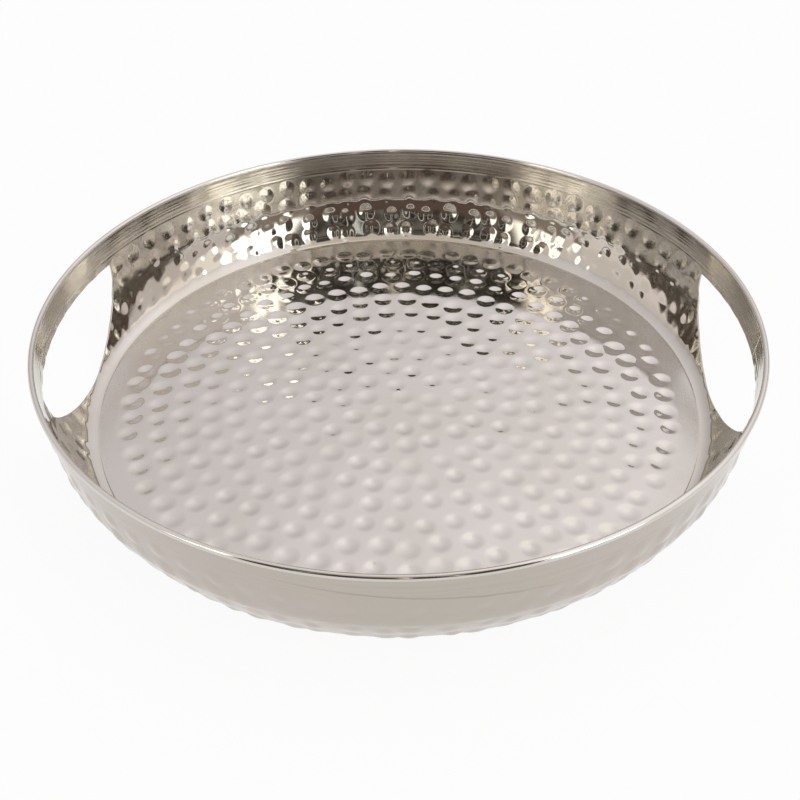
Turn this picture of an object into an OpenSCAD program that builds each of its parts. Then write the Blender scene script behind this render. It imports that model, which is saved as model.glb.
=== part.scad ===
// Round hammered metal serving tray with two cut-out hand slots.
// Sheet-metal build: a dished floor panel nests inside the foot of a bowed and bent wall band, and a slit
// bead ring is pressed over the band's top edge.
// Millimetres, +Z up. The origin is the centre of the foot on the table; the hand slots face +X and -X.

/* [Tray] */
// Outside diameter over the rim bead
rim_d = 356; // [300:1:420]
// Overall height from the table to the top of the bead
height = 56.5; // [48:0.5:70]
// Thickness of the sheet that the floor and the wall are made of
sheet_t = 0.9; // [0.7:0.1:1.4]

/* [Wall] */
// Lean of the lower wall away from vertical where it leaves the rounded corner, in degrees
lean_low = 32; // [26:0.1:38]
// Lean of the lower wall just below the bend, in degrees
lean_mid = 19; // [15:0.1:23]
// Lean of the upper wall just above the bend, in degrees
lean_up = 10; // [8:0.1:13]
// Lean of the upper wall at the rim, in degrees
lean_top = 4.5; // [2:0.1:7]
// Distance from the top of the bead down to the bend between lower and upper wall
bend_drop = 32; // [25:0.5:34]
// Outside radius of the rounded corner between foot and wall
corner_r = 11; // [8:0.5:14]
// Width of the flat foot that is turned in under the floor
foot_w = 7.5; // [4:0.1:10]

/* [Floor] */
// How far the floor's turned-up edge climbs into the rounded corner, measured outwards
floor_edge = 0.9; // [0.7:0.1:3]

/* [Rim] */
// Diameter of the round bead along the top edge
bead_d = 2.8; // [2.4:0.1:4]
// How far the middle of the bead stands outside the middle of the wall's sheet
bead_set = 0.1; // [0:0.05:0.5]
// Clearance on each side of the wall's edge in the bead's slit
slit_gap = 0.05; // [0.02:0.01:0.15]

/* [Hand slots] */
// Width of each half-moon slot along its straight upper edge
slot_w = 120; // [90:1:140]
// Distance from the top of the bead down to the slot's straight edge
slot_drop = 16.5; // [12:0.5:22]
// Height of the slot's lowest point above the table
slot_lift = 4; // [3:0.5:10]
// Radius of the tight bend at each end of the slot
slot_end_r = 25; // [15:1:28]

/* [Hammering] */
// Width of one hammer dent
dent_d = 11.2; // [7:0.1:11.5]
// Depth of one hammer dent
dent_depth = 0.6; // [0.2:0.05:0.7]
// Distance from one ring of floor dents to the next
ring_pitch = 13.5; // [13.5:0.1:18]
// Distance between neighbours along a ring
dent_pitch = 13.6; // [13.5:0.1:18]
// Plain margin between the outermost floor dents and the foot
floor_margin = 0.8; // [0.4:0.1:6]
// How far dents stray from an even spacing
stray = 0.9; // [0:0.1:0.9]

/* [Hidden] */
$fn = 96;
// Centre of the bead's round section
bead_r = rim_d / 2 - bead_d / 2;
bead_z = height - bead_d / 2;
// Top edge of the wall and its bowed upper side, by the middle of the sheet: radius, centre and lower end
wall_top = [bead_r - bead_set, bead_z];
up_r = (bead_z - height + bend_drop) / (sin(lean_up) - sin(lean_top));
up_c = wall_top - up_r * turned(lean_top);
wall_bend = up_c + up_r * turned(lean_up);
// Bowed lower side, which joins the bend to the rounded corner: radius and centre
mid_r = corner_r - sheet_t / 2;
low_r = (wall_bend[1] - corner_r + mid_r * sin(lean_low)) / (sin(lean_low) - sin(lean_mid));
low_c = wall_bend - low_r * turned(lean_mid);
corner_c = low_c[0] + (low_r - mid_r) * cos(lean_low);
foot_r = corner_c - foot_w;
// Turn of the sheet up from the foot, at the end of the floor's edge and at the end of the corner
floor_turn = asin(floor_edge / (corner_r - 1.5 * sheet_t));
corner_turn = 90 - lean_low;
// Hand slot: height of its straight edge, its depth, and the large arc between its two end bends
slot_z = height - slot_drop;
slot_h = slot_z - slot_lift;
end_r = min(slot_end_r, 0.9 * slot_h);
end_c = slot_w / 2 - end_r;
arc_rise = (pow(end_c, 2) - pow(slot_h - end_r, 2)) / (2 * (slot_h - end_r));
arc_r = slot_h + arc_rise;
// Steps that draw the corner under the floor's edge, the rest of the corner, and each bowed side
edge_steps = 2;
corner_steps = 20;
side_steps = 10;
step_turn = (corner_turn - floor_turn) / corner_steps;
// Ball that leaves a dent, and how far its slice reaches past the sheet's face
ball_r = (pow(dent_d / 2, 2) + pow(dent_depth, 2)) / (2 * dent_depth);
bite = 0.05;
// Floor rings, counted inwards from the foot
outer_ring = foot_r - floor_margin - dent_d / 2 - stray;
floor_rings = floor(outer_ring / ring_pitch);

// Outward direction of a face that leans by an angle
function turned(lean) = [cos(lean), -sin(lean)];

// Repeatable value between -1 and 1 for dent number k of ring i
function wobble(i, k) = sin(360 * (0.618 * k + 0.377 * i + 0.11 * i * k));

// Slice of the ball that leaves one dent, sunk one dent depth below height 0 and flat just above it
module ball_slice() {
    rotate_extrude()
        intersection() {
            translate([0, ball_r - dent_depth])
                circle(ball_r);
            translate([0, -2 * dent_depth])
                square([sqrt(pow(ball_r, 2) - pow(ball_r - dent_depth - bite, 2)), 2 * dent_depth + bite]);
        }
}

// Lays its child at height z along the rings of floor dents
module on_floor(z) {
    for (i = [0 : floor_rings]) {
        r = outer_ring - i * ring_pitch;
        n = max(1, floor(2 * PI * r / dent_pitch));
        for (k = [0 : n - 1]) {
            a = 360 * k / n + 137.5 * i;
            rotate(a + stray * 57.3 * wobble(i, k) / max(r, ring_pitch))
                translate([r + stray * wobble(k, i), 0, z])
                    children();
        }
    }
}

// Points of an arc in the rounded corner, by turn measured up from the foot
function arc(r, from, to, n) = [
    for (i = [0 : n])
        let (a = from + (to - from) * i / n)
        [corner_c + r * sin(a), corner_r - r * cos(a)]
];

// Stretch of the rounded corner that the floor's edge covers
function edge_arc(r) = arc(r, 0, floor_turn, edge_steps);

// The rest of the rounded corner
function corner_arc(r) = arc(r, floor_turn + step_turn, corner_turn, corner_steps - 1);

// Points of a bowed side about c from one lean to another, without its first point and without the last few
function bow(c, r, from, to, less) = [
    for (i = [1 : side_steps - less])
        c + r * turned(from + (to - from) * i / side_steps)
];

// Points up one face of the wall, a distance out from the middle of its sheet
function wall_face(out) = concat(
    edge_arc(mid_r + out),
    corner_arc(mid_r + out),
    bow(low_c, low_r + out, lean_low, lean_mid, 1),
    [wall_bend + out / cos((lean_mid - lean_up) / 2) * turned((lean_mid + lean_up) / 2)],
    bow(up_c, up_r + out, lean_up, lean_top, 0)
);

// Reversed copy of a list of points
function backwards(list) = [for (i = [len(list) - 1 : -1 : 0]) list[i]];

// Half-moon outline, straight edge on the X axis and belly below it
module slot_outline() {
    reach = 2 * slot_w;
    intersection() {
        translate([-slot_w, -slot_w])
            square([2 * slot_w, slot_w]);
        union() {
            for (s = [-1, 1])
                translate([s * end_c, 0])
                    circle(end_r);
            intersection() {
                translate([0, arc_rise])
                    circle(arc_r);
                polygon([
                    [0, arc_rise],
                    [-end_c * reach, arc_rise - arc_rise * reach],
                    [end_c * reach, arc_rise - arc_rise * reach]
                ]);
            }
        }
    }
}

// Section of the floor: flat, then turned up along the corner
module floor_section() {
    polygon(concat(
        [[0, sheet_t]],
        edge_arc(corner_r - sheet_t),
        backwards(edge_arc(corner_r - 2 * sheet_t)),
        [[0, 2 * sheet_t]]
    ));
}

// Section of the wall: turned-in foot, rounded corner, and two bowed sides that meet in a bend
module wall_section() {
    polygon(concat(
        [[foot_r, 0]],
        wall_face(sheet_t / 2),
        backwards(wall_face(-sheet_t / 2)),
        [[foot_r, sheet_t]]
    ));
}

// Hammered floor, lying on the foot with its edge turned up into the corner
module floor_panel() {
    color([0.80, 0.79, 0.78])
        difference() {
            union() {
                rotate_extrude()
                    floor_section();
                on_floor(sheet_t)
                    ball_slice();
            }
            on_floor(2 * sheet_t)
                ball_slice();
        }
}

// Wall with its turned-in foot and the two hand slots
module wall_band() {
    color([0.76, 0.75, 0.73])
        difference() {
            rotate_extrude()
                wall_section();
            for (s = [-1, 1])
                translate([s * rim_d / 2, 0, slot_z])
                    rotate([90, 0, 90])
                        linear_extrude(rim_d / 2, center = true)
                            slot_outline();
        }
}

// Slit bead pressed over the top edge of the wall
module rim_ring() {
    color([0.84, 0.83, 0.82])
        rotate_extrude()
            translate([bead_r, bead_z])
                difference() {
                    circle(bead_d / 2);
                    translate([-bead_set, 0])
                        rotate(-lean_top)
                            translate([-sheet_t / 2 - slit_gap, -bead_d])
                                square([sheet_t + 2 * slit_gap, bead_d]);
                }
}

floor_panel();
wall_band();
rim_ring();
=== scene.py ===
# %% [markdown]
# # Hammered serving tray
# The tray is polished, nickel-coloured sheet: a hammered floor, a hammered wall with two half-moon hand
# slots, and a round bead pressed over the wall's top edge. Its three solids come from the packed model,
# where the wall is smooth, because dents on a bent wall are slow to cut out of a solid. This lesson puts
# a fine mesh with real dents in the place of each solid and gives it a finish made of nodes. Polished
# metal shows little of itself and much of the room, so the last part builds a room for it to mirror.

import math

import bmesh
import bpy
import numpy as np
from mathutils import Matrix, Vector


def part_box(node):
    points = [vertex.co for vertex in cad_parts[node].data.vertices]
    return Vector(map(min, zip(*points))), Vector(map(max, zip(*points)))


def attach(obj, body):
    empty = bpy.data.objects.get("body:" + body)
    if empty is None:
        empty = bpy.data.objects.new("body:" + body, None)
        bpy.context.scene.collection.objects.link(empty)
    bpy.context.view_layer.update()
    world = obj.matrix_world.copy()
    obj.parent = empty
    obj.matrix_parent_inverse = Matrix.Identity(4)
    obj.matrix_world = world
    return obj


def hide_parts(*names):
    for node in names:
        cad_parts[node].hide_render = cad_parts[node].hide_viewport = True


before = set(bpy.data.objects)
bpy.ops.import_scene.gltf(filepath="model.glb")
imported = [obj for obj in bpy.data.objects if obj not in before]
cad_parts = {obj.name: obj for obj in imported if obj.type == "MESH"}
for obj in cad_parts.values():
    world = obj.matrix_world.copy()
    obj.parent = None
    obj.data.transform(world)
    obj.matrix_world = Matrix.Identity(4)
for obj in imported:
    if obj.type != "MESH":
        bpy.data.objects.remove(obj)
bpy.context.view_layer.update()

# %% [markdown]
# ## Sizes
# A metalworker starts from a few sizes: how wide the rim is, how high it stands, how thick the sheet is.
# Blender works in metres, but small numbers with many zeros are easy to misread, so the lesson counts in
# millimetres and turns them into metres when a mesh is made. The height and the bead's thickness are
# read from the solid rim, so that mesh and solid agree.

# %% Rim and sheet
MM = 0.001
RIM_R = 178.0
SHEET = 0.9
BEAD_SET = 0.1
rim_low, rim_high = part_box("rim_ring")
HEIGHT = rim_high[2] / MM
BEAD_D = (rim_high[2] - rim_low[2]) / MM
BEAD_R = RIM_R - BEAD_D / 2
BEAD_Z = HEIGHT - BEAD_D / 2
print(f"rim {2 * RIM_R:.0f} mm across, {HEIGHT:.1f} mm high, bead {BEAD_D:.1f} mm thick")

# %% [markdown]
# ## Section of the wall
# The real wall is one strip of sheet. From a flat foot under the floor it turns up round a corner and
# goes on in two wide bows that meet in a soft bend. A curve could be lathed into that shape, but then a
# dent couldn't be placed on it exactly. So a point of the wall is named by its run, the distance up the
# sheet from the end of the foot, and small steps along the run, each at the sheet's own slope, add up to
# the radius and the height.

# %% Slope of the sheet along its run
LEAN_LOW = math.radians(32.0)
LEAN_MID = math.radians(20.5)
LEAN_UP = math.radians(11.0)
LEAN_TOP = math.radians(5.2)
CORNER_R = 11.0
BEND_DROP = 33.0
BEND_SOFT = 1.2
BEND_FADE = 8.0
LONGEST_RUN = 80
RUN_STEPS = 8000


def smooth(value, low, high):
    """Smooth step from 0 at low to 1 at high."""
    t = np.clip((value - low) / (high - low), 0, 1)
    return t * t * (3 - 2 * t)


MID_R = CORNER_R - SHEET / 2
CORNER_TOP = CORNER_R - MID_R * math.sin(LEAN_LOW)
CORNER_LEN = MID_R * (math.pi / 2 - LEAN_LOW)
LOW_R = (HEIGHT - BEND_DROP - CORNER_TOP) / (math.sin(LEAN_LOW) - math.sin(LEAN_MID))
BEND_RUN = CORNER_LEN + LOW_R * (LEAN_LOW - LEAN_MID)
RUNS = np.linspace(0, LONGEST_RUN, RUN_STEPS + 1)
LOWER = LEAN_LOW - np.maximum(RUNS - CORNER_LEN, 0) / LOW_R
UPPER = LEAN_TOP + (LEAN_UP - LEAN_TOP) * np.exp(-np.maximum(RUNS - BEND_RUN, 0) / BEND_FADE)
LEANS = LOWER + (UPPER - LOWER) * smooth(RUNS, BEND_RUN - BEND_SOFT, BEND_RUN + BEND_SOFT)
TURNS = np.minimum(RUNS / MID_R, math.pi / 2 - LEANS)
print(f"corner {CORNER_LEN:.1f} mm long, bend at {BEND_RUN:.1f} mm")

# %% Radius and height along the run


def summed(values, step):
    """Running sum of values that lie one step apart."""
    return np.concatenate([[0], np.cumsum((values[1:] + values[:-1]) / 2)]) * step


RADII = summed(np.cos(TURNS), RUNS[1])
HEIGHTS = SHEET / 2 + summed(np.sin(TURNS), RUNS[1])
WALL_LEN = np.interp(BEAD_Z, HEIGHTS, RUNS)
CORNER_C = BEAD_R - BEAD_SET - np.interp(WALL_LEN, RUNS, RADII)


def wall_point(run):
    """Radius and height of the sheet's middle, and its inward normal, at each run."""
    turn = np.interp(run, RUNS, TURNS)
    radius = CORNER_C + np.minimum(run, 0) + np.interp(run, RUNS, RADII)
    return radius, np.interp(run, RUNS, HEIGHTS), -np.sin(turn), np.cos(turn)


print(f"wall {WALL_LEN:.1f} mm long, corner centre at {CORNER_C:.1f} mm")

# %% [markdown]
# ## Where the hammer fell
# A tray is hammered blow by blow: its floor in rings from the edge inwards, its wall in upright columns.
# Dents strewn at random would lose that order, and even ones would look stamped. So every dent keeps its
# ring or column, and a sine of its number, the wobble, shifts it and changes its width and force. That
# looks made by hand, and it comes out the same on every run.

# %% Floor dents
FOOT_W = 7.5
FLOOR_MARGIN = 0.8
SOLID_DENT_D = 11.2
SOLID_STRAY = 0.9
RING_PITCH = 13.5
DENT_PITCH = 13.6
GOLDEN_TURN = math.radians(137.5)
STRAY = 1.3
DENT_REACH = 12.4
REACH_SPREAD = 0.10
DENT_DEPTH = 0.66
DEEPEST = 0.82
FORCE_SPREAD = 0.28
OUTER_FORCE = 0.35
OUTER_RINGS = (90, 140)
WOBBLE = (0.618, 0.377, 0.11)
# Shifts of the count that keep a dent's width and force from going with its place.
WIDTH_SHIFT = 3
FORCE_SHIFT = 5
OUTER_RING = CORNER_C - FOOT_W - FLOOR_MARGIN - SOLID_DENT_D / 2 - SOLID_STRAY


def wobble(i, k):
    """Repeatable value between -1 and 1 for dent k of ring or row i."""
    along, across, both = WOBBLE
    return math.sin(2 * math.pi * (along * k + across * i + both * i * k))


def floor_dents():
    """Radius, turn, width and depth of each dent; the outer rings are struck harder."""
    for i in range(math.floor(OUTER_RING / RING_PITCH) + 1):
        ring = OUTER_RING - i * RING_PITCH
        count = max(1, math.floor(2 * math.pi * ring / DENT_PITCH))
        harder = 1 + OUTER_FORCE * smooth(ring, *OUTER_RINGS)
        for k in range(count):
            turn = 2 * math.pi * k / count + GOLDEN_TURN * i
            turn += STRAY * wobble(i, k) / max(ring, RING_PITCH)
            width = DENT_REACH * (1 + REACH_SPREAD * wobble(k, i + WIDTH_SHIFT))
            force = harder * (1 + FORCE_SPREAD * wobble(i + FORCE_SHIFT, k))
            yield ring + STRAY * wobble(k, i), turn, width, min(DENT_DEPTH * force, DEEPEST)


print(len(list(floor_dents())), "floor dents")

# %% [markdown]
# The wall has four rows of blows. They are not alike all round: at the back they are deep and crisp,
# beside the hand slots soft. One depth for a whole row could not show that, and a list of single dents
# would be long. So each row has a depth for all its dents, and some more at the back, on the diagonals
# and in front.

# %% Wall dents
WALL_COLUMNS = 80
WALL_DENT_D = 10.8
WALL_REACH_SPREAD = 0.12
WALL_FORCE_SPREAD = 0.3
COLUMN_STRAY = 0.18
ROW_STRAY = 1.2
BACK_POWER = 4
# Run up the wall, depth, and more depth at the back, on the diagonals and in front.
WALL_ROWS = (
    (11.6, 0.18, 0.77, 0, 0.4),
    (22.0, 0.30, 0.44, 0, 0.2),
    (34.4, 0.28, 0.06, 0.27, 0),
    (44.6, 0.28, 0.08, 0.27, 0),
)


def wall_dents():
    """Run, turn, width and depth of each dent."""
    for i, (run, deep, back, diagonal, fore) in enumerate(WALL_ROWS):
        for k in range(WALL_COLUMNS):
            turn = 2 * math.pi * (k + COLUMN_STRAY * wobble(i, k)) / WALL_COLUMNS
            width = WALL_DENT_D * (1 + WALL_REACH_SPREAD * wobble(k, i + WIDTH_SHIFT))
            depth = deep + back * max(math.sin(turn), 0) ** BACK_POWER
            depth += diagonal * math.sin(2 * turn) ** 2
            depth += fore * max(-math.sin(turn), 0)
            force = 1 + WALL_FORCE_SPREAD * wobble(i + FORCE_SHIFT, k)
            yield run + ROW_STRAY * wobble(k, i), turn, width, depth * force


print(len(list(wall_dents())), "wall dents")

# %% [markdown]
# ## Shape of a dent
# A round hammer leaves a shallow bowl with a soft lip, and the sheet between the bowls is never quite
# flat. A bump map could fake the bowls, but a mirror finish and the outline would give it away, so they
# are worked out as depths, and the meshes follow them. A few long, low waves bend the reflections
# between the dents, as on real beaten metal.

# %% Dent and wave depths
BOWL_POWER = 1.9
WAVES = 7
WAVE_HEIGHT = 0.018
WAVE_SHORTEST = 21
WAVE_LONGER = 6.5
WAVE_SHIFT = 1.7


def bowl(distance, radius):
    """Depth of a bowl as a share of its deepest, 0 outside its radius."""
    inside = np.clip(1 - (distance / radius) ** 2, 0, None)
    return inside**BOWL_POWER


def long_waves(across, along):
    """Height of the waves between the dents, each longer than the last and turned from it."""
    total = np.zeros_like(across)
    for n in range(WAVES):
        heading = n * GOLDEN_TURN
        length = WAVE_SHORTEST + WAVE_LONGER * n
        phase = across * math.cos(heading) + along * math.sin(heading)
        total += np.sin(2 * math.pi * phase / length + WAVE_SHIFT * n)
    return WAVE_HEIGHT * total


def dent_depths(across, along, dents, tall=1.0):
    """Depth of the beaten sheet over a grid; tall stretches every dent in the first direction."""
    depth = np.zeros_like(across)
    for x, y, width, deep in dents:
        radius = width / 2
        near = (np.abs(across - x) < radius * tall) & (np.abs(along - y) < radius)
        distance = np.hypot((across[near] - x) / tall, along[near] - y)
        depth[near] = np.maximum(depth[near], deep * bowl(distance, radius))
    return depth + long_waves(across, along)


print(f"halfway out, a dent has {bowl(0.5, 1.0):.2f} of its depth")

# %% [markdown]
# ## Hand slots
# Each hand slot is a half-moon punched through the wall: a straight edge above, two tight bends at its
# ends and one wide arc below. A boolean cut would do, but it leaves ragged faces on a mesh this fine. So
# the outline is written as a depth below the straight edge, and the wall's own columns will end on it.

# %% Slot outline
SLOT_W = 120.0
SLOT_DROP = 16.5
SLOT_LIFT = 4.0
SLOT_END_R = 25.0
SLOT_Z = HEIGHT - SLOT_DROP
SLOT_H = SLOT_Z - SLOT_LIFT
SIDE_C = SLOT_W / 2 - SLOT_END_R
ARC_RISE = (SIDE_C**2 - (SLOT_H - SLOT_END_R) ** 2) / (2 * (SLOT_H - SLOT_END_R))
ARC_R = SLOT_H + ARC_RISE
ARC_END = SIDE_C * ARC_R / (ARC_R - SLOT_END_R)


def slot_depth(y):
    """Depth of the half-moon below its straight edge at sideways distance y."""
    y = np.minimum(np.abs(y), SLOT_W / 2)
    belly = np.sqrt(ARC_R**2 - y**2) - ARC_RISE
    ends = np.sqrt(np.clip(SLOT_END_R**2 - (y - SIDE_C) ** 2, 0, None))
    return np.where(y < ARC_END, belly, ends)


print(f"slot {SLOT_W:.0f} mm wide and {slot_depth(0.0):.1f} mm high")

# %% Edges of the slot as runs
HALVINGS = 40
SLOT_TOP = np.interp(SLOT_Z, HEIGHTS, RUNS)


def slot_bottom(turn):
    """Run of the slot's lower edge at each turn from its middle, found by halving a range."""
    low = np.zeros_like(turn)
    high = np.full_like(turn, SLOT_TOP)
    for step in range(HALVINGS):
        middle = (low + high) / 2
        radius, height = wall_point(middle)[:2]
        below = height < SLOT_Z - slot_depth(radius * np.sin(turn))
        low = np.where(below, middle, low)
        high = np.where(below, high, middle)
    return (low + high) / 2


print(f"slot from run {slot_bottom(np.zeros(1))[0]:.1f} to run {SLOT_TOP:.1f} mm")

# %% [markdown]
# ## From grids to meshes
# A sheet has a front and a back, a small way apart. Blender's Solidify modifier could thicken a single
# skin, but the wall and the floor need an exact thickness up to their edges, where they meet. So each
# sheet is made as two grids of points in rings, sewn together along their edges. The grids are fine
# enough, about a millimetre, to carry every dent.

# %% Faces between rings of points


def grid_quads(first, rows, columns):
    """Quads of a grid whose columns close into a ring; first is the number of its first point."""
    row, column = np.meshgrid(np.arange(rows - 1), np.arange(columns), indexing="ij")
    here = row * columns + column
    beside = row * columns + (column + 1) % columns
    quads = np.stack([here, beside, beside + columns, here + columns], -1)
    return first + quads.reshape(-1, 4)


def band_quads(one, two):
    """Quads between two rings of point numbers."""
    return np.stack([one, np.roll(one, -1), np.roll(two, -1), two], -1)


def ring_points(radius, height, turn):
    """Places of points that are given by radius, height and turn."""
    radius, height, turn = np.broadcast_arrays(radius, height, turn)
    return np.stack([radius * np.cos(turn), radius * np.sin(turn), height], -1).reshape(-1, 3)


print("a grid of 3 rows and 4 columns has", len(grid_quads(0, 3, 4)), "quads")

# %% [markdown]
# Each mesh stands for one solid of the packed model: it rides on the tray's only body and takes the
# solid's place. The solids could wear the finish themselves, but their wall has no dents, so each gives
# way to a mesh.

# %% Mesh to piece


def make_piece(name, points, quads, node, caps=()):
    """Turns points in millimetres into a piece that takes the place of a node of the packed model."""
    mesh = bpy.data.meshes.new(name)
    faces = quads.tolist() + [list(cap) for cap in caps]
    mesh.from_pydata((points * MM).tolist(), [], faces)
    mesh.validate()
    mesh.shade_smooth()
    piece = bpy.data.objects.new(name, mesh)
    bpy.context.scene.collection.objects.link(piece)
    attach(piece, "root")
    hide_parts(node)
    print(name, len(mesh.vertices), "points")
    return piece


# %% [markdown]
# ## The floor
# The floor is a disc of sheet that lies on the wall's foot. Its edge turns up a little and nests in the
# rounded corner, which leaves the fine line round the tray's floor. A filled circle would have no points
# for the dents, so the disc is built of rings, close enough for a smooth bowl, with a small cap in the
# middle. The dents fade out over the foot, where two sheets lie on each other.

# %% Section of the floor
FLOOR_STEP = 0.9
FLOOR_EDGE = 0.9
EDGE_STEPS = 8
CURL_R = MID_R - SHEET
EDGE_RUN = CURL_R * math.asin(FLOOR_EDGE / CURL_R)
floor_runs = np.concatenate([
    np.arange(FLOOR_STEP / 2, CORNER_C, FLOOR_STEP),
    CORNER_C + np.linspace(0, EDGE_RUN, EDGE_STEPS),
])[:, None]
floor_curl = np.maximum(floor_runs - CORNER_C, 0) / CURL_R
floor_radius = np.minimum(floor_runs, CORNER_C) + CURL_R * np.sin(floor_curl)
floor_height = CORNER_R - CURL_R * np.cos(floor_curl)
print(len(floor_runs), f"rings, the last at {floor_radius.max():.1f} mm")

# %% Floor panel
FLOOR_COLUMNS = 1080
FLOOR_FADE = 2


def floor_faces():
    """Points of the top and the underside, in rings."""
    turn = 2 * math.pi * np.arange(FLOOR_COLUMNS) / FLOOR_COLUMNS
    dents = [(r * math.cos(a), r * math.sin(a), *size) for r, a, *size in floor_dents()]
    depth = dent_depths(floor_radius * np.cos(turn), floor_radius * np.sin(turn), dents)
    depth *= np.clip((CORNER_C - FOOT_W - floor_radius) / FLOOR_FADE, 0, 1)
    faces = []
    for out in (SHEET / 2, -SHEET / 2):
        radius = floor_radius - out * np.sin(floor_curl)
        height = floor_height + out * np.cos(floor_curl) - depth
        faces.append(ring_points(radius, height, turn))
    return np.concatenate(faces)


def hammered_floor():
    """The two faces of the floor, joined round the edge and closed by a small cap in the middle."""
    rings = len(floor_runs)
    count = rings * FLOOR_COLUMNS
    ring = np.arange(FLOOR_COLUMNS)
    edge = count - FLOOR_COLUMNS + ring
    quads = np.concatenate([
        grid_quads(0, rings, FLOOR_COLUMNS),
        grid_quads(count, rings, FLOOR_COLUMNS)[:, ::-1],
        band_quads(edge, count + edge),
    ])
    caps = [ring, count + ring[::-1]]
    return make_piece("hammered_floor", floor_faces(), quads, "floor_panel", caps)


floor_piece = hammered_floor()

# %% [markdown]
# ## The wall
# The wall is a bent strip with two slots in it. Rings of points alone would cut the slots into steps, so
# the wall is laid out in columns, which crowd together towards the ends of the slots. Each column has a
# lower and an upper stretch: they meet where the wall is whole and part where it is cut, and so the
# slot's edge follows its outline exactly.

# %% Columns round the wall
SLOT_COLUMNS = 220
SIDE_COLUMNS = 540
HAIR = 1e-9
HALF_TURN = math.asin(SLOT_W / 2 / wall_point(SLOT_TOP)[0])


def column_turns():
    """Turn of each column, all the way round from the first column of the right slot."""
    sweep = np.linspace(-math.pi / 2, math.pi / 2, SLOT_COLUMNS + 1)
    bunched = np.arcsin(math.sin(HALF_TURN) * np.sin(sweep))
    plain = np.linspace(HALF_TURN, math.pi - HALF_TURN, SIDE_COLUMNS + 1)
    half = np.concatenate([bunched[:-1], plain[:-1]])
    return np.concatenate([half, half + math.pi])


wall_turn = column_turns()
from_slot = np.minimum(np.abs(np.sin(wall_turn)), 1)
in_slot = from_slot < math.sin(HALF_TURN) - HAIR
low_end = np.where(in_slot, slot_bottom(np.arcsin(from_slot)), SLOT_TOP)
print(len(wall_turn), "columns,", in_slot.sum(), "of them cut by a slot")

# %% [markdown]
# Under the rim the wall was turned on a lathe instead of hammered. That leaves a plain band with fine
# rings, and one scribed line where it ends. The rings are only hundredths of a millimetre deep, but they
# draw the reflections out sideways, so they are part of the mesh too.

# %% Faces of the wall
WALL_DENT_TALL = 1.15
CORNER_FADE = 6
SEAM_TURN = 0.1
SEAM_LEN = 30
PLAIN_RUN = 51.5
PLAIN_FADE = 1.5
LATHE_DEPTH = 0.008
LATHE_PITCH = 1.9
LATHE_DRIFT = 1.3
LATHE_DRIFT_RATE = 1.1
SCRIBE_DEPTH = 0.05
SCRIBE_W = 0.7


def wall_depths(runs, turn):
    """Depth of dents, lathe rings and scribed line over a grid of runs and turns."""
    mean_r = CORNER_C + CORNER_R
    dents = [(run, a * mean_r, *size) for run, a, *size in wall_dents()]
    dents += [(run, a + 2 * math.pi * mean_r, *size) for run, a, *size in dents if a < SEAM_LEN]
    along = np.mod(turn + SEAM_TURN, 2 * math.pi) - SEAM_TURN
    depth = dent_depths(runs, along * mean_r, dents, WALL_DENT_TALL)
    depth *= np.clip(runs / CORNER_FADE, 0, 1)
    plain = smooth(runs, PLAIN_RUN, PLAIN_RUN + PLAIN_FADE)
    drift = LATHE_DRIFT * np.sin(runs * LATHE_DRIFT_RATE)
    depth += plain * LATHE_DEPTH * np.sin(2 * math.pi * runs / LATHE_PITCH + drift)
    return depth + SCRIBE_DEPTH * bowl(np.abs(runs - PLAIN_RUN), SCRIBE_W)


def wall_faces(runs):
    """Points of the inside and the outside of the sheet over a grid of runs."""
    turn = np.broadcast_to(wall_turn, runs.shape)
    radius, height, nr, nz = wall_point(runs)
    depth = wall_depths(runs, turn)
    for side in (1, -1):
        out = side * SHEET / 2 - depth
        yield ring_points(radius + nr * out, height + nz * out, turn)


print(f"plain band {WALL_LEN - PLAIN_RUN:.1f} mm wide")

# %% Wall band
LOW_ROWS = 80
HIGH_ROWS = 52
LIP = 0.14


def slot_lips(points, low, high):
    """Adds a row of points along each cut edge, which rounds it a little, and the faces beside it."""
    ring = np.arange(len(wall_turn))
    cut = in_slot | np.roll(in_slot, -1)
    quads = []
    for (inside, outside), way in ((low, 1), (high, -1)):
        lip = (points[inside + ring] + points[outside + ring]) / 2
        lip[:, 2] += way * LIP
        middle = len(points) + ring
        points = np.concatenate([points, lip])
        for one, two in ((inside + ring, middle), (middle, outside + ring)):
            quads.append(band_quads(one, two)[cut][:, ::way])
    return points, quads


def hammered_wall():
    """Inside and outside of both stretches, joined along the foot, the top and the slots."""
    columns = len(wall_turn)
    ring = np.arange(columns)
    rows_low = -FOOT_W + (low_end + FOOT_W) * np.linspace(0, 1, LOW_ROWS)[:, None]
    rows_high = SLOT_TOP + (WALL_LEN - SLOT_TOP) * np.linspace(0, 1, HIGH_ROWS)[:, None] + 0 * wall_turn
    points = []
    quads = []
    firsts = []
    for rows in (rows_low, rows_high):
        for face, way in zip(wall_faces(rows), (-1, 1)):
            first = sum(len(made) for made in points)
            quads.append(grid_quads(first, len(rows), columns)[:, ::way])
            points.append(face)
            firsts.append(first)
    low = np.array(firsts[:2])
    high = np.array(firsts[2:])
    low_last = low + (LOW_ROWS - 1) * columns
    high_last = high + (HIGH_ROWS - 1) * columns
    quads.append(band_quads(low[0] + ring, low[1] + ring))
    quads.append(band_quads(high_last[1] + ring, high_last[0] + ring))
    points, lips = slot_lips(np.concatenate(points), low_last, high)
    return make_piece("hammered_wall", points, np.concatenate(quads + lips), "wall_band")


wall_piece = hammered_wall()

# %% [markdown]
# On the real tray the stretches below and above the slots are one sheet. Here their points share the
# same places where the wall is whole, so merging points that coincide joins them into one mesh. That is
# quicker and surer than numbering the shared points while the grids are made.

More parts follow.
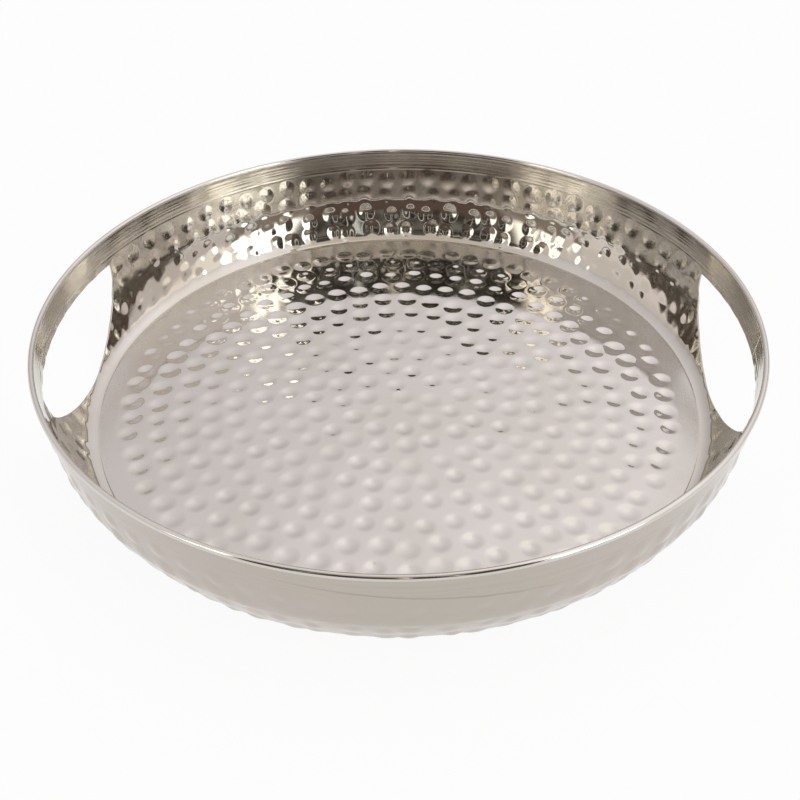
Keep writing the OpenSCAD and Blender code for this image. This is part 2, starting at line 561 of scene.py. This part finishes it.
# %% Sew the wall together
SAME_PLACE = 0.00001
sewing = bmesh.new()
sewing.from_mesh(wall_piece.data)
bmesh.ops.remove_doubles(sewing, verts=sewing.verts, dist=SAME_PLACE)
loose = [v for v in sewing.verts if not v.link_faces]
bmesh.ops.delete(sewing, geom=loose, context="VERTS")
bmesh.ops.recalc_face_normals(sewing, faces=sewing.faces)
sewing.to_mesh(wall_piece.data)
sewing.free()
wall_piece.data.shade_smooth()
print("wall sewn:", len(wall_piece.data.vertices), "points")

# %% [markdown]
# ## The rim
# The bead is a round bar bent into a ring, with a slit below that takes the wall's top edge. A torus
# would look alike from afar, but it has no slit, and the dark line on both sides of the wall would be
# missing. So the bar's section is drawn as an open circle, closed by the slit, and swept round the tray.

# %% Rim ring
RIM_COLUMNS = 1440
RIM_STEPS = 26
SLIT_GAP = 0.05


def bead_section():
    """Radius and height of the points round the bead, tilted as the wall is."""
    half_slit = SHEET / 2 + SLIT_GAP
    slit = -BEAD_SET * math.cos(LEAN_TOP)
    first = -math.acos((slit + half_slit) / (BEAD_D / 2))
    last = 2 * math.pi - math.acos((slit - half_slit) / (BEAD_D / 2))
    angles = np.linspace(first, last, RIM_STEPS)
    across = np.concatenate([BEAD_D / 2 * np.cos(angles), [slit - half_slit, slit + half_slit]])
    up = np.concatenate([BEAD_D / 2 * np.sin(angles), np.full(2, -BEAD_SET * math.sin(LEAN_TOP))])
    radius = BEAD_R + across * math.cos(LEAN_TOP) + up * math.sin(LEAN_TOP)
    return radius, BEAD_Z - across * math.sin(LEAN_TOP) + up * math.cos(LEAN_TOP)


def rim_bead():
    """The bead's section, swept round the tray."""
    radius, height = bead_section()
    steps = len(radius)
    turn = 2 * math.pi * np.arange(RIM_COLUMNS) / RIM_COLUMNS
    points = ring_points(radius[:, None], height[:, None], turn)
    ring = np.arange(RIM_COLUMNS)
    quads = np.concatenate([
        grid_quads(0, steps, RIM_COLUMNS),
        band_quads((steps - 1) * RIM_COLUMNS + ring, ring),
    ])
    return make_piece("rim_bead", points, quads[:, ::-1], "rim_ring")


rim_piece = rim_bead()

# %% [markdown]
# ## Shader arithmetic
# A finish that changes over a surface is a sum of patterns, and in Blender each sum is a Math node. They
# could be added and linked one by one, but that hides the formula. A small class wraps the output of a
# node and gives it the usual operators, so that a pattern can be written as an ordinary expression. Any
# other node comes from its one method, node.

# %% Field class


def both_ways(operation):
    """The two forms of an operator: field on the left, and field on the right."""

    def plain(self, other):
        return self.math(operation, self, other)

    def reflected(self, other):
        return self.math(operation, other, self)

    return plain, reflected


class Field:
    """A shader value that takes part in ordinary arithmetic."""

    def __init__(self, tree, socket=None):
        self.tree = tree
        self.socket = socket

    def plug(self, target, value):
        if isinstance(value, Field):
            self.tree.links.new(value.socket, target)
        else:
            target.default_value = value

    def node(self, kind, settings=None, sockets=None, out=0):
        made = self.tree.nodes.new(kind)
        for name, value in (settings or {}).items():
            setattr(made, name, value)
        for name, value in (sockets or {}).items():
            self.plug(made.inputs[name], value)
        return Field(self.tree, made.outputs[out])

    def math(self, operation, *values):
        return self.node("ShaderNodeMath", {"operation": operation}, dict(enumerate(values)))

    __add__, __radd__ = both_ways("ADD")
    __sub__, __rsub__ = both_ways("SUBTRACT")
    __mul__, __rmul__ = both_ways("MULTIPLY")
    __truediv__, __rtruediv__ = both_ways("DIVIDE")
    __pow__, __rpow__ = both_ways("POWER")

    def size(self):
        return self.math("ABSOLUTE", self)

    def step(self, low, high):
        """Smooth step from 0 at low to 1 at high; where low is the larger, from 1 down to 0."""
        return self.node(
            "ShaderNodeMapRange",
            {"interpolation_type": "SMOOTHSTEP"},
            {"Value": self, "From Min": low, "From Max": high},
        )

    def mix(self, one, two):
        """Colour one where this value is 0, colour two where it is 1."""
        # A Mix node has sockets of one name for several kinds of data; 6, 7 and 2 are those for colours.
        return self.node("ShaderNodeMix", {"data_type": "RGBA"}, {0: self, 6: one, 7: two}, out=2)

    def axes(self):
        """The X, Y and Z of a field that holds places or directions."""
        parts = self.node("ShaderNodeSeparateXYZ", None, {0: self}).socket.node
        return [Field(self.tree, part) for part in parts.outputs]

    def noise(self, scale=1.0, detail=2.0):
        """Clouds over the places that this field holds."""
        return self.node("ShaderNodeTexNoise", None, {"Vector": self, "Scale": scale, "Detail": detail})


print("operators:", [name for name in vars(Field) if name.startswith("__r")])

# %% [markdown]
# ## Outside of the wall
# The outside is darker and warmer than the inside: painted shade, which stands in for the shadowed
# paper close to the tray that the outer wall mirrors. It has short strokes under the rim, and one faint
# slanted line in front, which is painted shade too. It could have a material of its own, but then the
# colour would jump along the mesh's edge faces. Since the wall's normal points away from the middle on
# the outside only, that tells the two sides apart, and one material serves both.

# %% Outside colour
WORN = (0.88, 0.95, 0.89)
WORN_CLOUDS = (0.3, 0.7)
STROKE_FINE = 900
STROKE_LONG = 14
STROKES = (0.5, 0.7)
STROKES_FROM = (0.036, 0.044)
MARK_Z = 0.0437
MARK_SLOPE = 0.0875
MARK_X = 0.016
MARK_WIDE = 0.0009
MARK_REACH = (0.07, 0.02)
MARK_FRONT = (0.0, 0.05)
MARK_FORCE = 0.6
MARK_SHADE = 0.65


def outside_shade_and_wear(place, clouds, outside_shade):
    """Colour of the outside: painted shade, worn in clouds and strokes, with a slanted line of painted
    shade.
    """
    x, y, z = place.axes()
    fibres = {"X": z * STROKE_FINE, "Y": x * STROKE_LONG, "Z": y * STROKE_LONG}
    strokes = place.node("ShaderNodeCombineXYZ", None, fibres).noise()
    worn = (clouds.step(*WORN_CLOUDS) + strokes.step(*STROKES) * z.step(*STROKES_FROM)) / 2
    # The slanted line is painted shade, a darker line in the outer colour.
    shade_line = (z + x * MARK_SLOPE - MARK_Z).size().step(MARK_WIDE, 0.0)
    shade_line = shade_line * (x - MARK_X).size().step(*MARK_REACH) * (y * -1.0).step(*MARK_FRONT)
    worn_shade = [v * share for v, share in zip(outside_shade, WORN)]
    shade_line_colour = [v * MARK_SHADE for v in outside_shade]
    # The outer colour is painted shade; the clouds and strokes on it are wear.
    return (shade_line * MARK_FORCE).mix(worn.mix((*outside_shade, 1), (*worn_shade, 1)), (*shade_line_colour, 1))


print("faint line across", 2 * MARK_REACH[0], "m of the outside")

# %% [markdown]
# ## Polished nickel
# Nickel plate is bright and slightly warm. Its colour drifts in soft clouds, fine lines from the polishing
# wheel run round the tray, and small smudges roughen the shine here and there. A metal with one roughness
# would look like plastic foil, and an image of scratches would blur close up, so each of these is a noise
# pattern in the tray's own measures. Towards its edge the floor turns satin, where the wheel hardly
# reached, and so it doesn't mirror the hand slots.

# %% Metal
CLOUD_SCALE = 18.0
SMUDGE_SCALE = 60.0
LINES_FINE = 3000
LINES_LONG = 12
CLOUDS = (0.35, 0.65)
SMUDGES = (0.45, 0.75)
SMUDGE_ROUGH = 0.05
LINE_ROUGH = 0.02
LINE_DEPTH = 0.00005
SMUDGE_RELIEF = 0.5
SATIN_FROM = (0.136, 0.150)
OUTWARD = (0.05, 0.25)
TINY = 1e-6


def nickel(name, pale, warm, shine, line_strength, satin=0.0, outside=None):
    """Metal between two colours; satin roughens the floor's edge, outside is a darker outer colour of
    painted shade.
    """
    material = bpy.data.materials.new(name)
    material.use_nodes = True
    shader = material.node_tree.nodes["Principled BSDF"]
    place = Field(material.node_tree).node("ShaderNodeTexCoord", out="Object")
    x, y, z = place.axes()
    radius = (x * x + y * y) ** 0.5
    clouds = place.noise(CLOUD_SCALE, detail=3.0)
    smudge = place.noise(SMUDGE_SCALE, detail=5.0)
    rings = {"X": radius * LINES_FINE, "Y": z * LINES_FINE, "Z": x * LINES_LONG}
    lines = place.node("ShaderNodeCombineXYZ", None, rings).noise()
    colour = clouds.step(*CLOUDS).mix((*pale, 1), (*warm, 1))
    if outside:
        nx, ny = place.node("ShaderNodeNewGeometry", out="Normal").axes()[:2]
        facing = (nx * x + ny * y) / (radius + TINY)
        colour = facing.step(*OUTWARD).mix(colour, outside_shade_and_wear(place, clouds, outside))
    rough = shine + smudge.step(*SMUDGES) * SMUDGE_ROUGH + lines * LINE_ROUGH
    rough = rough + radius.step(*SATIN_FROM) * satin
    height = lines + smudge * SMUDGE_RELIEF
    relief = {"Strength": line_strength, "Distance": LINE_DEPTH, "Height": height}
    place.plug(shader.inputs["Base Color"], colour)
    place.plug(shader.inputs["Roughness"], rough)
    place.plug(shader.inputs["Normal"], place.node("ShaderNodeBump", None, relief))
    shader.inputs["Metallic"].default_value = 1.0
    print(name, len(material.node_tree.nodes), "nodes")
    return material


# %% [markdown]
# The three pieces were not polished alike. The bead is the palest, the wall is a little warmer and keeps
# its darker outside, which is painted shade, and the floor has the smoothest middle and a satin edge. One
# material for all would lose that, so each piece has its own, mixed by the same function.

# %% Metal on the pieces
floor_metal = nickel(
    "floor nickel",
    pale=(0.63, 0.605, 0.57),
    warm=(0.60, 0.575, 0.53),
    shine=0.05,
    line_strength=0.10,
    satin=0.2,
)
wall_metal = nickel(
    "wall nickel",
    pale=(0.61, 0.585, 0.54),
    warm=(0.57, 0.54, 0.485),
    shine=0.06,
    line_strength=0.14,
    # Darker than the inside: painted shade for the shadowed paper that the outer wall mirrors.
    outside=(0.535, 0.475, 0.435),
)
rim_metal = nickel(
    "rim nickel",
    pale=(0.68, 0.66, 0.63),
    warm=(0.63, 0.60, 0.55),
    shine=0.07,
    line_strength=0.12,
)
for piece, metal in ((floor_piece, floor_metal), (wall_piece, wall_metal), (rim_piece, rim_metal)):
    piece.data.materials.append(metal)
    print(piece.name, "has", metal.name)

# %% [markdown]
# ## Pale floor
# The tray stands on a white sheet of paper, which should look white and still hold the tray's soft
# shadow. More light would whiten it, but it would burn out the metal as well. So the paper is a plain
# pale surface for the light, mixed with a white glow that only the camera and the metal's reflections
# see. Under the tray the metal sees no glow, because that part of the paper is in the dark.

# %% Pale floor
GROUND_R = 6.0
GROUND_Z = -0.0002
PAPER = ((0.90, 0.90, 0.90, 1), (0.93, 0.93, 0.93, 1))
GLOW_SEEN = 0.93
GLOW_MIRRORED = 0.8
TRAY_FOOT = (0.150, 0.166)

bpy.ops.mesh.primitive_circle_add(
    vertices=128, radius=GROUND_R, fill_type="NGON", location=(0, 0, GROUND_Z)
)
ground = bpy.context.object
ground.name = "pale_floor"
paint = bpy.data.materials.new("pale floor")
paint.use_nodes = True
paint_nodes = paint.node_tree.nodes
matt = paint_nodes["Principled BSDF"]
matt.inputs["Roughness"].default_value = 0.9
spot = Field(paint.node_tree).node("ShaderNodeTexCoord", out="Object")
grain = spot.node("ShaderNodeTexNoise", None, {"Scale": 40.0, "Detail": 4.0})
spot.plug(matt.inputs["Base Color"], grain.mix(*PAPER))
print("ground", 2 * GROUND_R, "m across")

# %% Glow of the pale floor
RAYS = ("Is Camera Ray", "Is Glossy Ray", "Is Transmission Ray")
seen, glossy, through = [spot.node("ShaderNodeLightPath", out=name) for name in RAYS]
spot_x, spot_y = spot.axes()[:2]
beyond = ((spot_x * spot_x + spot_y * spot_y) ** 0.5).step(*TRAY_FOOT)
share = seen * GLOW_SEEN + (glossy + through) * beyond * GLOW_MIRRORED
glow = spot.node("ShaderNodeEmission", None, {"Color": (1, 1, 1, 1), "Strength": 1.0})
paper = Field(paint.node_tree, matt.outputs[0])
surface = spot.node("ShaderNodeMixShader", None, {0: share, 1: paper, 2: glow})
spot.plug(paint_nodes["Material Output"].inputs["Surface"], surface)
ground.data.materials.append(paint)
print("pale floor", len(paint_nodes), "nodes")

# %% [markdown]
# ## The room
# What gives polished metal its look is the room that it mirrors. Walls and lamps could be modelled
# round the tray, or a panorama wrapped round it. A world made of nodes is lighter: its colour depends on
# the direction alone, it lights the tray evenly, and each part of it can be set by itself. Three numbers
# say where a direction points: its height, 1 straight up; ahead, 1 behind the tray and -1 in front of
# it; and aside, 1 on the right and -1 on the left.

# %% Directions in the room
world = bpy.data.worlds.new("studio room")
bpy.context.scene.world = world
world.use_nodes = True
sky = world.node_tree
way = Field(sky).node("ShaderNodeTexCoord", out="Generated")
way_x, way_y, up = way.axes()
flat = (way_x * way_x + way_y * way_y + TINY) ** 0.5
ahead = way_y / flat
aside = way_x / flat
print("room directions:", len(sky.nodes), "nodes")

# %% [markdown]
# The upper room is pale and slightly rosy, brighter to the right and higher up, and this is what most of
# the tray's floor mirrors. A single colour would leave the floor without the slow change of tone that
# shows its size, so four colours are mixed by direction.

# %% Upper room
LOW_LEFT = (0.66, 0.63, 0.645, 1)
HIGH_LEFT = (0.93, 0.885, 0.905, 1)
LOW_RIGHT = (0.94, 0.895, 0.915, 1)
HIGH_RIGHT = (1.33, 1.265, 1.30, 1)
RISE = (0.25, 0.95)
LEFT_TO_RIGHT = (-0.7, 0.7)

rise = up.step(*RISE)
left_half = rise.mix(LOW_LEFT, HIGH_LEFT)
right_half = rise.mix(LOW_RIGHT, HIGH_RIGHT)
upper_room = aside.step(*LEFT_TO_RIGHT).mix(left_half, right_half)
print("upper room:", len(sky.nodes), "nodes")

# %% [markdown]
# Below eye level the tray's walls mirror the sides of the room, each in two tones, and a low brown
# cupboard behind the tray. These tones make the light and dark bands along the side walls, so each has
# the height at which its band lies.

# %% Sides of the room
FOOT_LEFT = (0.98, 0.89, 0.85, 1)
SIDE_LEFT = (0.85, 0.79, 0.74, 1)
FOOT_RIGHT = (0.78, 0.71, 0.68, 1)
SIDE_RIGHT = (1.28, 1.19, 1.10, 1)
BROWN = (0.30, 0.25, 0.20, 1)
MIDDLE = (-0.4, 0.4)
LEFT_FOOT_TOP = (0.22, 0.26)
RIGHT_FOOT_TOP = (0.285, 0.315)
BACK_OF_ROOM = (0.3, 0.8)
BROWN_TOP = (0.27, 0.32)
EYE_LEVEL = (0.44, 0.50)

left_side = up.step(*LEFT_FOOT_TOP).mix(FOOT_LEFT, SIDE_LEFT)
right_side = up.step(*RIGHT_FOOT_TOP).mix(FOOT_RIGHT, SIDE_RIGHT)
sides = aside.step(*MIDDLE).mix(left_side, right_side)
behind = ahead.step(*BACK_OF_ROOM)
room = (up.step(*BROWN_TOP) * behind).mix(behind.mix(sides, BROWN), upper_room)
room = up.step(*EYE_LEVEL).mix(room, upper_room)
print("sides of the room:", len(sky.nodes), "nodes")

# %% [markdown]
# The ceiling is a little darker and warmer than the room, and one soft lamp hangs to the right behind
# the tray, which lights up the floor's right half. An area lamp would do the same, but it would be
# another source of noise in the render.

# %% Ceiling and lamp
ZENITH = (0.80, 0.72, 0.63, 1)
CEILING = (0.92, 0.98)
LAMP = (1.32, 1.28, 1.25, 1)
LAMP_AT = (0.332, 0.332, 0.883)
LAMP_EDGE = (0.93, 0.998)

room = up.step(*CEILING).mix(room, ZENITH)
towards_lamp = way_x * LAMP_AT[0] + way_y * LAMP_AT[1] + up * LAMP_AT[2]
room = towards_lamp.step(*LAMP_EDGE).mix(room, LAMP)
print("ceiling and lamp:", len(sky.nodes), "nodes")

# %% [markdown]
# In front the room is dark. The back wall and the dark band across the floor mirror it, and without
# it the metal would look like white plaster. One black panel could do that, but it would look like a
# hole in the metal. So it isn't evenly black: dim things stand about in it, a reddish board runs along
# its foot, and a few narrow lit strips give the dents their bright curls.

# %% Dark front
DARK = (0.045, 0.040, 0.034, 1)
DIM = (0.24, 0.225, 0.20, 1)
RED = (0.14, 0.095, 0.075, 1)
FRONT_RISE = 0.4
FRONT_SHIFT = 0.12
FRONT_EDGE = (0.74, 0.82)
FRONT_TOP = (0.91, 0.98)
THINGS_SCALE = 7.0
THINGS = (0.42, 0.66)
STRIPS = ((0.07, (1.3, 1.2, 1.0, 1)), (0.32, (1.0, 1.0, 0.95, 1)), (-0.42, (0.6, 0.58, 0.52, 1)))
STRIP_EDGE = (0.026, 0.016)
STRIP_FOOT = (0.34, 0.38)
RED_TOP = (0.30, 0.40)

inner = (up * FRONT_RISE - ahead - FRONT_SHIFT).step(*FRONT_EDGE)
shade = way.noise(THINGS_SCALE, detail=3.0).step(*THINGS).mix(DARK, DIM)
for strip_at, strip_colour in STRIPS:
    strip = (aside - strip_at).size().step(*STRIP_EDGE) * up.step(*STRIP_FOOT)
    shade = strip.mix(shade, strip_colour)
front = inner * (1.0 - up.step(*FRONT_TOP))
room = front.mix(room, up.step(*RED_TOP).mix(RED, shade))
print("dark front:", len(sky.nodes), "nodes")

# %% [markdown]
# On either side of the dark front there is a tall window with two bars, above a brown sill. The windows
# make the bright patches to the left and right of the back wall. Two plain bright panels could make
# them too, but bars and sills break them up, as in a real room. The right window is brighter, and has
# a wider bay at half height. A white sweep of paper closes the room at the foot.

# %% Windows and sweep
WINDOW_LEFT = (2.6, 2.48, 2.2, 1)
WINDOW_RIGHT = (4.2, 4.2, 4.0, 1)
WINDOW_SPLIT = (-0.1, 0.1)
WINDOW_EDGE = (0.42, 0.47)
WINDOW_TOP = (0.82, 0.88)
SILL = (0.28, 0.33)
BAY_SIDE = (0.5, 0.7)
BAY_FOOT = (0.33, 0.37)
BAY_TOP = (0.53, 0.57)
BAY_W = 0.12
BARS_AT = (0.53, 0.62)
BAR_EDGE = (0.012, 0.007)
SWEEP = (1.0, 1.0, 1.0, 1)
SWEEP_TOP = (0.12, 0.16)

bay = aside.step(*BAY_SIDE) * up.step(*BAY_FOOT) * (1.0 - up.step(*BAY_TOP)) * BAY_W
panes = (bay - ahead).step(*WINDOW_EDGE) * (1.0 - inner) * (1.0 - up.step(*WINDOW_TOP))
bar_one, bar_two = [(ahead + bar_at).size().step(*BAR_EDGE) for bar_at in BARS_AT]
glass = aside.step(*WINDOW_SPLIT).mix(WINDOW_LEFT, WINDOW_RIGHT)
barred = (bar_one + bar_two).mix(glass, RED)
room = panes.mix(room, up.step(*SILL).mix(BROWN, barred))
room = up.step(*SWEEP_TOP).mix(SWEEP, room)
background = sky.nodes["Background"]
way.plug(background.inputs["Color"], room)
background.inputs["Strength"].default_value = 1.0
print("whole room:", len(sky.nodes), "nodes")

# %% [markdown]
# ## Camera
# The camera looks down on the tray at the angle of the photograph. A Track To constraint could aim it,
# but it would lose the photograph's slight tilt. So its place and its three angles, which were fitted to
# the circles of the rim, the floor and the foot, are turned into a matrix.

# %% Camera
CAMERA_AT = (18.4, -416.5, 333.4)
PITCH = math.radians(39.09)
YAW = math.radians(-2.457)
ROLL = math.radians(-0.42)
LENS = 45.0
SENSOR_W = 36.0
NEAREST = 0.01

forward = np.array([
    math.sin(YAW) * math.cos(PITCH),
    math.cos(YAW) * math.cos(PITCH),
    -math.sin(PITCH),
])
level = np.array([math.cos(YAW), -math.sin(YAW), 0])
upward = np.cross(level, forward)
rolled_side = math.cos(ROLL) * level + math.sin(ROLL) * upward
rolled_up = math.cos(ROLL) * upward - math.sin(ROLL) * level
eye = bpy.data.cameras.new("camera")
eye.lens = LENS
eye.sensor_width = SENSOR_W
eye.clip_start = NEAREST
camera = bpy.data.objects.new("camera", eye)
turned = Matrix(np.stack([rolled_side, rolled_up, -forward], 1).tolist()).to_4x4()
camera.matrix_world = Matrix.Translation([v * MM for v in CAMERA_AT]) @ turned
bpy.context.scene.collection.objects.link(camera)
bpy.context.scene.camera = camera
bpy.context.scene.view_settings.view_transform = "Standard"
print("camera", CAMERA_AT, "mm from the middle of the foot")

# %% [markdown]
# ## Finish
# The mesh must not be larger than the solids that it stands for.
